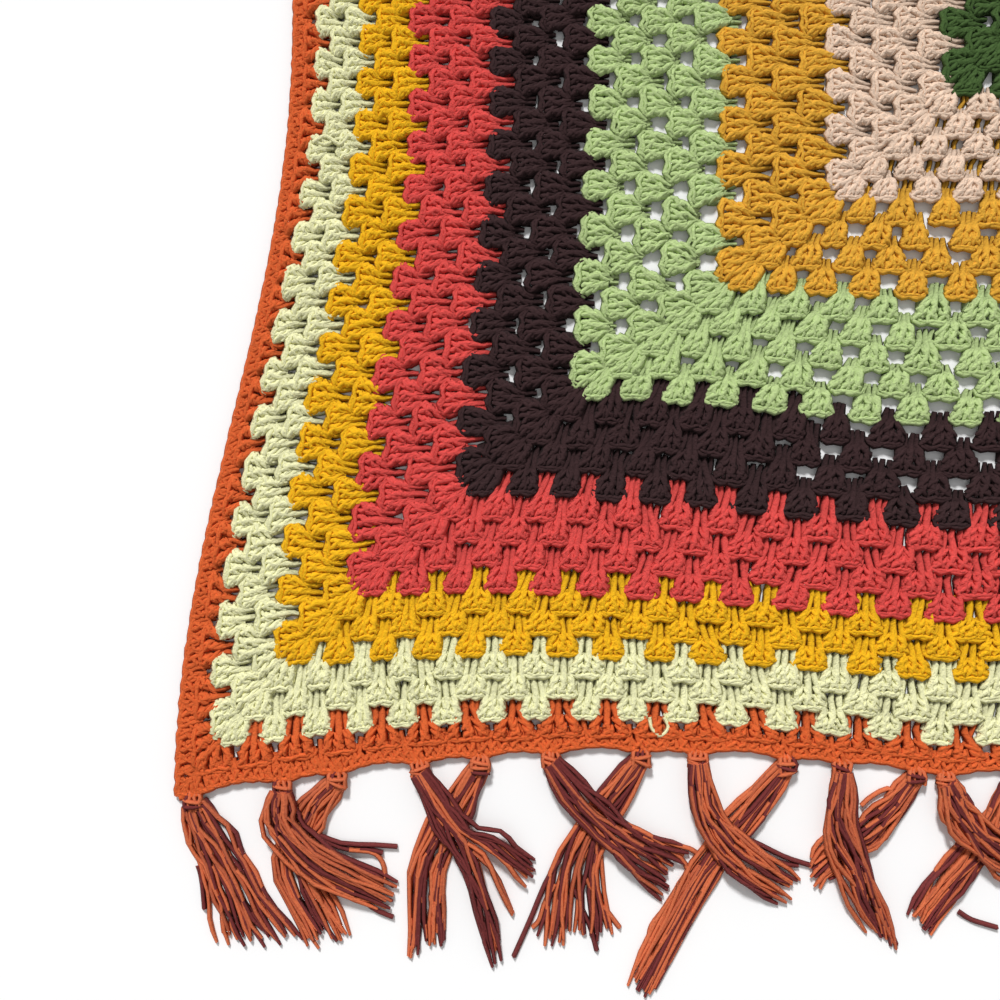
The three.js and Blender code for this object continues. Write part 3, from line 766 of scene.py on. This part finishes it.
def areaAt(r):
    if r <= 0:
        return 0.0
    x, y = np.concatenate([sideLine(side, r)[:-1] for side in range(4)]).T
    return abs(float((x * np.roll(y, -1) - y * np.roll(x, -1)).sum() / 2))


# The flat size of one yarn's rounds: their mean length round the square, and their depth.
def bandSize(firstRound, lastRound):
    covered = (areaAt(lastRound) - areaAt(firstRound - 1)) * mm * mm
    inner = perimeterAt(firstRound - 1) if firstRound > 1 else 0
    length = (perimeterAt(lastRound) + inner) / 2 * mm
    return length, covered / length


def trianglesIn(pieces):
    return sum(len(p.vertices) - 2 for piece in pieces for p in piece.data.polygons)


first = 1
for row in yarnRows:
    random = np.random.default_rng(crochet["seed"] + row["lastRound"])
    overs, unders = clusterStrands(row, first, random)
    if row["yarn"] == "orange":
        edgeOvers, edgeUnders = edgingStrands(random)
        overs, unders = overs + edgeOvers, unders + edgeUnders
    unders = unders + looseStrands(row["yarn"], random)
    if row["yarn"] == woven["yarn"]:
        unders = unders + wovenStrands(random)
    material = yarnMaterial(row["yarn"] + "_yarn", row["color"])
    stitches = yarnPiece(row["yarn"] + "_stitches", overs, material, crochet["section"])
    loops = yarnPiece(row["yarn"] + "_loops", unders, material, crochet["section"])
    for piece in (stitches, loops):
        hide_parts("granny_square")
        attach(piece, "root")
    flat = bandSize(first, row["lastRound"])
    measured = sum(p.area for p in stitches.data.polygons) / 2
    print(row["yarn"], "rounds", first, "to", row["lastRound"], "flat", [round(x, 4) for x in flat],
          "share", round(measured / math.prod(flat), 2), "triangles", trianglesIn((stitches, loops)))
    first = row["lastRound"] + 1


# A tassel is a bunch of strands in two layers, a knot of turns and the folded ends that hold it in the
# edge, in mm. widths is half the bunch's width along its length, pile how high its upper layer lies, and
# bed how much of overHeight it keeps over its neighbour. By the tassel's number from the corner, forked
# spreads the tips apart, broad widens the bunch, toneTurns sets where the two colours lie across it, and
# tripled has a third turn in the knot.
fringe = {
    "strands": 22, "strandRadius": 1.42, "steps": 12, "section": (0.95, 1.05, 1.0), "seed": 71,
    "color": (0.62, 0.150, 0.060), "darkColor": (0.170, 0.030, 0.029), "curls": 0.45, "softness": 0.0,
    "headRadius": 5.4, "edgeGap": 0.5, "rootIn": 2.0, "overHeight": 5.6,
    "widths": ((0.0, 3.8), (0.10, 5.4), (0.40, 7.2), (0.75, 7.6), (1.0, 7.0)), "upperWidth": 0.84,
    "bed": ((0, 1), (0.25, 1), (0.75, 0.8), (0.88, 0.4), (1.0, 0.0)), "looseFrom": 0.25,
    "wave": 1.9, "waveChange": (0.5, 1.4), "waveTurns": (0.6, 1.5), "kink": 0.65, "kinkTurns": (2.0, 3.6),
    "rise": 0.45, "riseTurns": (0.7, 1.6), "layerHeight": 1.55, "crown": 0.25,
    "pileAt": (0, 0.3, 0.8, 1.0), "pile": (1.0, 0.95, 0.75), "pileTip": (0.1, 0.5),
    "splay": 1.12, "tipRange": (-7.0, 2.0), "tipWander": 0.8, "tipFrom": 0.45, "tipEase": 1.3,
    "thickChange": 0.06, "tipThick": 0.6, "tipTintFrom": 0.8, "tipTint": 1.6,
    "darkShare": 0.50, "toneSwing": 0.3, "toneWidth": 4.2, "toneLayer": 0.10, "toneChange": 0.28,
    "lightTones": (0.0, 0.0, 0.28), "toneTurns": {1: -1.57, 2: 0.51},
    "forked": {4: 0.3, 5: 0.7, 8: 0.7}, "broad": {1: 1.45, 2: 1.15},
    "tripled": (5, 9, 10), "turnSteps": 12, "turnThick": 1.3, "turnWidth": 4.1,
    "turnWidthChange": (-0.2, 0.3), "turnHeight": 3.6, "turnLean": 0.9, "turnsFrom": 3.4, "turnGap": 2.3,
    "darkTurns": 0.4, "foldAsides": (-1.0, -0.35, 0.35, 1.0), "foldWidths": (3.6, 3.8, 3.4, 2.2),
    "foldPlaces": (-1.0, 2.8, 5.6, 7.4), "foldHeights": (4.0, 4.7, 4.4, 2.4), "foldWander": 0.4,
    "darkFolds": 0.15, "straySteps": 9, "strayFall": (0.3, 0.6),
}


# Single strands that stray from the foot's tassels: the tassel's number, 0 for orange or 1 for the dark
# yarn, the height it leaves the bunch at, and the stops of its route, in mm.
strayRows = [
    (1, 1, 2.0, -407, -416, -406, -420, -405, -426, -404, -437),
    (2, 1, 5.0, -358, -397, -348, -401, -338, -405, -322, -406, -311, -407),
    (2, 1, 4.6, -352, -399, -343, -405, -335, -408, -326, -408, -318, -410),
    (2, 0, 3.4, -334, -408, -322, -410, -318, -415, -317, -422),
    (2, 1, 3.4, -338, -425, -331, -430, -322, -437, -313, -441),
    (3, 1, 1.8, -291, -422, -290, -430, -289, -436, -289, -452),
    (5, 1, 3.0, -233, -413, -239, -423, -247, -442, -255, -460),
    (5, 0, 2.4, -220, -422, -217, -429, -210, -438, -204, -446),
    (5, 1, 1.8, -226, -427, -223, -435, -218, -446, -215, -457),
    (5, 0, 1.8, -235, -425, -240, -434, -243, -443, -246, -446),
    (6, 0, 4.2, -187, -402, -177, -406, -170, -408, -167, -410),
    (6, 0, 3.6, -183, -406, -173, -414, -171, -424, -179, -432),
    (7, 0, 1.8, -177, -432, -184, -439, -189, -446, -190, -453),
    (8, 1, 4.8, -149, -400, -138, -405, -124, -412, -112, -416),
    (8, 1, 4.2, -152, -401, -139, -409, -125, -415, -118, -416),
    (9, 0, 2.6, -88, -387, -83, -383, -74, -379, -68, -384),
    (13, 1, 1.8, -41, -438, -35, -442, -29, -444, -22, -446),
]


def waveAlong(share, turns, random):
    return np.sin(2 * math.pi * (share * random.uniform(*turns) + random.random()))


def bunchStrands(number, row, headY, random):
    rootX, kneeX, kneeY, shinX, shinY, oneX, oneY, twoX, twoY, over = row
    count, steps, radius = fringe["strands"], fringe["steps"], fringe["strandRadius"]
    share = np.linspace(0, 1, steps)
    route = routeThrough([(rootX, headY + fringe["rootIn"]), (kneeX, kneeY), (shinX, shinY),
                          ((oneX + twoX) / 2, (oneY + twoY) / 2)], steps)
    ahead = np.gradient(route, axis=0)
    ahead /= np.linalg.norm(ahead, axis=1, keepdims=True)
    left = np.stack([-ahead[:, 1], ahead[:, 0]], axis=1)
    broad = fringe["broad"].get(number, 1.0)
    half = np.interp(share, *np.array(fringe["widths"]).T) * broad
    bed = np.interp(share, *np.array(fringe["bed"]).T) * over
    loosened = np.clip(share / fringe["looseFrom"], 0, 1)
    pull = np.clip((share - fringe["tipFrom"]) / (1 - fringe["tipFrom"]), 0, 1)[:, None] ** fringe["tipEase"]
    lower = (count + 1) // 2
    anyTurn = random.uniform(0, 6.28)
    toneTurn = fringe["toneTurns"].get(number, anyTurn)
    lines, tones = [], []
    for i in range(count):
        layer, place = divmod(i, lower)
        inLayer = count - lower if layer else lower
        spot = (place / (inLayer - 1) * 2 - 1) * (fringe["upperWidth"] if layer else 1.0)
        slow = waveAlong(share, fringe["waveTurns"], random)
        quick = waveAlong(share, fringe["kinkTurns"], random)
        stray = fringe["wave"] * random.uniform(*fringe["waveChange"]) * slow + fringe["kink"] * quick
        at = route + left * (spot * half + stray * loosened)[:, None]
        bunched = abs(spot) ** fringe["forked"].get(number, 1.0) * math.copysign(1, spot)
        tipShare = (bunched * fringe["splay"] * broad + 1) / 2
        tip = np.array([oneX + (twoX - oneX) * tipShare, oneY + (twoY - oneY) * tipShare])
        tip = tip + ahead[-1] * random.uniform(*fringe["tipRange"])
        tip = tip + random.normal(0, fringe["tipWander"], 2)
        at = at * (1 - pull) + (tip + (at - at[-1])) * pull
        pileTip = fringe["pileTip"][0] + fringe["pileTip"][1] * random.random()
        pile = np.interp(share, fringe["pileAt"], [*fringe["pile"], pileTip])
        rise = fringe["rise"] * waveAlong(share, fringe["riseTurns"], random)
        raised = layer * fringe["layerHeight"] * radius * pile * (1 - fringe["crown"] * spot ** 2)
        z = radius + raised + bed * fringe["overHeight"] + rise * loosened
        lines.append(np.concatenate([at, np.maximum(z, radius)[:, None]], axis=1))
        clump = (0.5 + fringe["toneSwing"] * math.sin(spot * fringe["toneWidth"] + toneTurn)
                 + fringe["toneLayer"] * layer + random.normal(0, fringe["toneChange"]))
        tones.append(1.0 if clump < fringe["darkShare"] else random.choice(fringe["lightTones"]))
    thick = radius * mm * (1 + random.normal(0, fringe["thickChange"], (count, steps)))
    thick[:, -1] *= fringe["tipThick"]
    faded = np.clip((share - fringe["tipTintFrom"]) / (1 - fringe["tipTintFrom"]), 0, 1)
    tints = random.random((count, 1)) + faded * random.uniform(0, fringe["tipTint"], (count, 1))
    return np.array(lines) * mm, thick, tints, np.array(tones)


def knotTurns(number, rootX, headY, random):
    count = 3 if number in fringe["tripled"] else 2
    steps = fringe["turnSteps"]
    turns = []
    for n in range(count):
        angle = np.linspace(0, 2 * math.pi, steps) + random.uniform(0, 1)
        lean = random.normal(0, fringe["turnLean"])
        across = np.cos(angle) * (fringe["turnWidth"] + random.uniform(*fringe["turnWidthChange"]))
        out = fringe["turnsFrom"] - fringe["turnGap"] * n + lean * np.cos(angle)
        z = fringe["turnHeight"] + np.sin(angle) * (fringe["turnHeight"] - fringe["turnThick"])
        turns.append(np.stack([rootX + across, headY + out, z], axis=1))
    thick = np.full((count, steps), fringe["turnThick"] * mm)
    tints = random.random(count)
    return np.array(turns) * mm, thick, tints, (random.random(count) < fringe["darkTurns"]).astype(float)


def knotFolds(rootX, headY, random):
    folds, count = [], len(fringe["foldAsides"])
    y = headY + np.array(fringe["foldPlaces"])
    for aside in fringe["foldAsides"]:
        x = rootX + aside * np.array(fringe["foldWidths"]) + random.normal(0, fringe["foldWander"], len(y))
        folds.append(np.stack([x, y, np.array(fringe["foldHeights"])], axis=1))
    thick = np.full((count, len(y)), fringe["strandRadius"] * mm)
    tints = random.random(count)
    return np.array(folds) * mm, thick, tints, (random.random(count) < fringe["darkFolds"]).astype(float)


def strayStrands(number, random):
    fallAt, fallTo = fringe["strayFall"]
    radius = fringe["strandRadius"]
    return [loneStrand(stops, ([0, fallAt, 1], [height, height * fallTo, radius]),
                       fringe["straySteps"], radius * mm, tone, random)
            for owner, tone, height, *stops in strayRows if owner == number]


def tasselStrands(number, row, random):
    rootX = row[0]
    edgeY = footPoint(np.array([float(rounds)]), np.array([footPlaceAt(rootX)]))[0, 1]
    headY = edgeY - fringe["edgeGap"] - fringe["headRadius"] * math.cos(math.pi / 6)
    return [bunchStrands(number, row, headY, random), knotTurns(number, rootX, headY, random),
            knotFolds(rootX, headY, random), *strayStrands(number, random)]


# The top's tassels are the foot's rows turned half round. As number 0, none has a stray or an odd shape.
fringeFinish = yarnMaterial("fringe_yarn", fringe["color"], fringe["darkColor"],
                            curls=fringe["curls"], softness=fringe["softness"])
random = np.random.default_rng(fringe["seed"])
for end, sign in (("foot", 1), ("top", -1)):
    for i, row in enumerate(footRows):
        strands = tasselStrands(i + 1 if end == "foot" else 0, row, random)
        turned = [(line * np.array([sign, sign, 1]), *rest) for line, *rest in strands]
        name = "tassel_%s_%02d" % (end, i + 1)
        piece = yarnPiece(name + "_yarn", turned, fringeFinish, fringe["section"])
        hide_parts(name)
        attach(piece, "root")

studio = {
    "floorColor": (0.94, 0.94, 0.94), "floorRoughness": 0.9, "floorReach": 6.0, "worldStrength": 0.42,
    "sunStrength": 3.1, "sunAngle": 9.0, "sunFrom": (-0.22, 0.88, 0.80),
}
reach = studio["floorReach"]
floorMesh = bpy.data.meshes.new("floor")
floorMesh.from_pydata([(-reach, -reach, 0), (reach, -reach, 0), (reach, reach, 0), (-reach, reach, 0)],
                      [], [(0, 1, 2, 3)])
floor = addToScene("floor", floorMesh)
floorFinish = bpy.data.materials.new("floor")
floorFinish.use_nodes = True
floorShader = floorFinish.node_tree.nodes["Principled BSDF"]
floorShader.inputs["Base Color"].default_value = (*studio["floorColor"], 1)
floorShader.inputs["Roughness"].default_value = studio["floorRoughness"]
floorMesh.materials.append(floorFinish)

world = bpy.data.worlds.new("studio")
world.use_nodes = True
world.node_tree.nodes["Background"].inputs["Color"].default_value = (1, 1, 1, 1)
world.node_tree.nodes["Background"].inputs["Strength"].default_value = studio["worldStrength"]
bpy.context.scene.world = world
bpy.context.scene.view_settings.view_transform = "Standard"

sunData = bpy.data.lights.new("keyLight", "SUN")
sunData.energy = studio["sunStrength"]
sunData.angle = math.radians(studio["sunAngle"])
sun = addToScene("keyLight", sunData)
sun.rotation_mode = "QUATERNION"
sun.rotation_quaternion = Vector(studio["sunFrom"]).to_track_quat("Z", "Y")
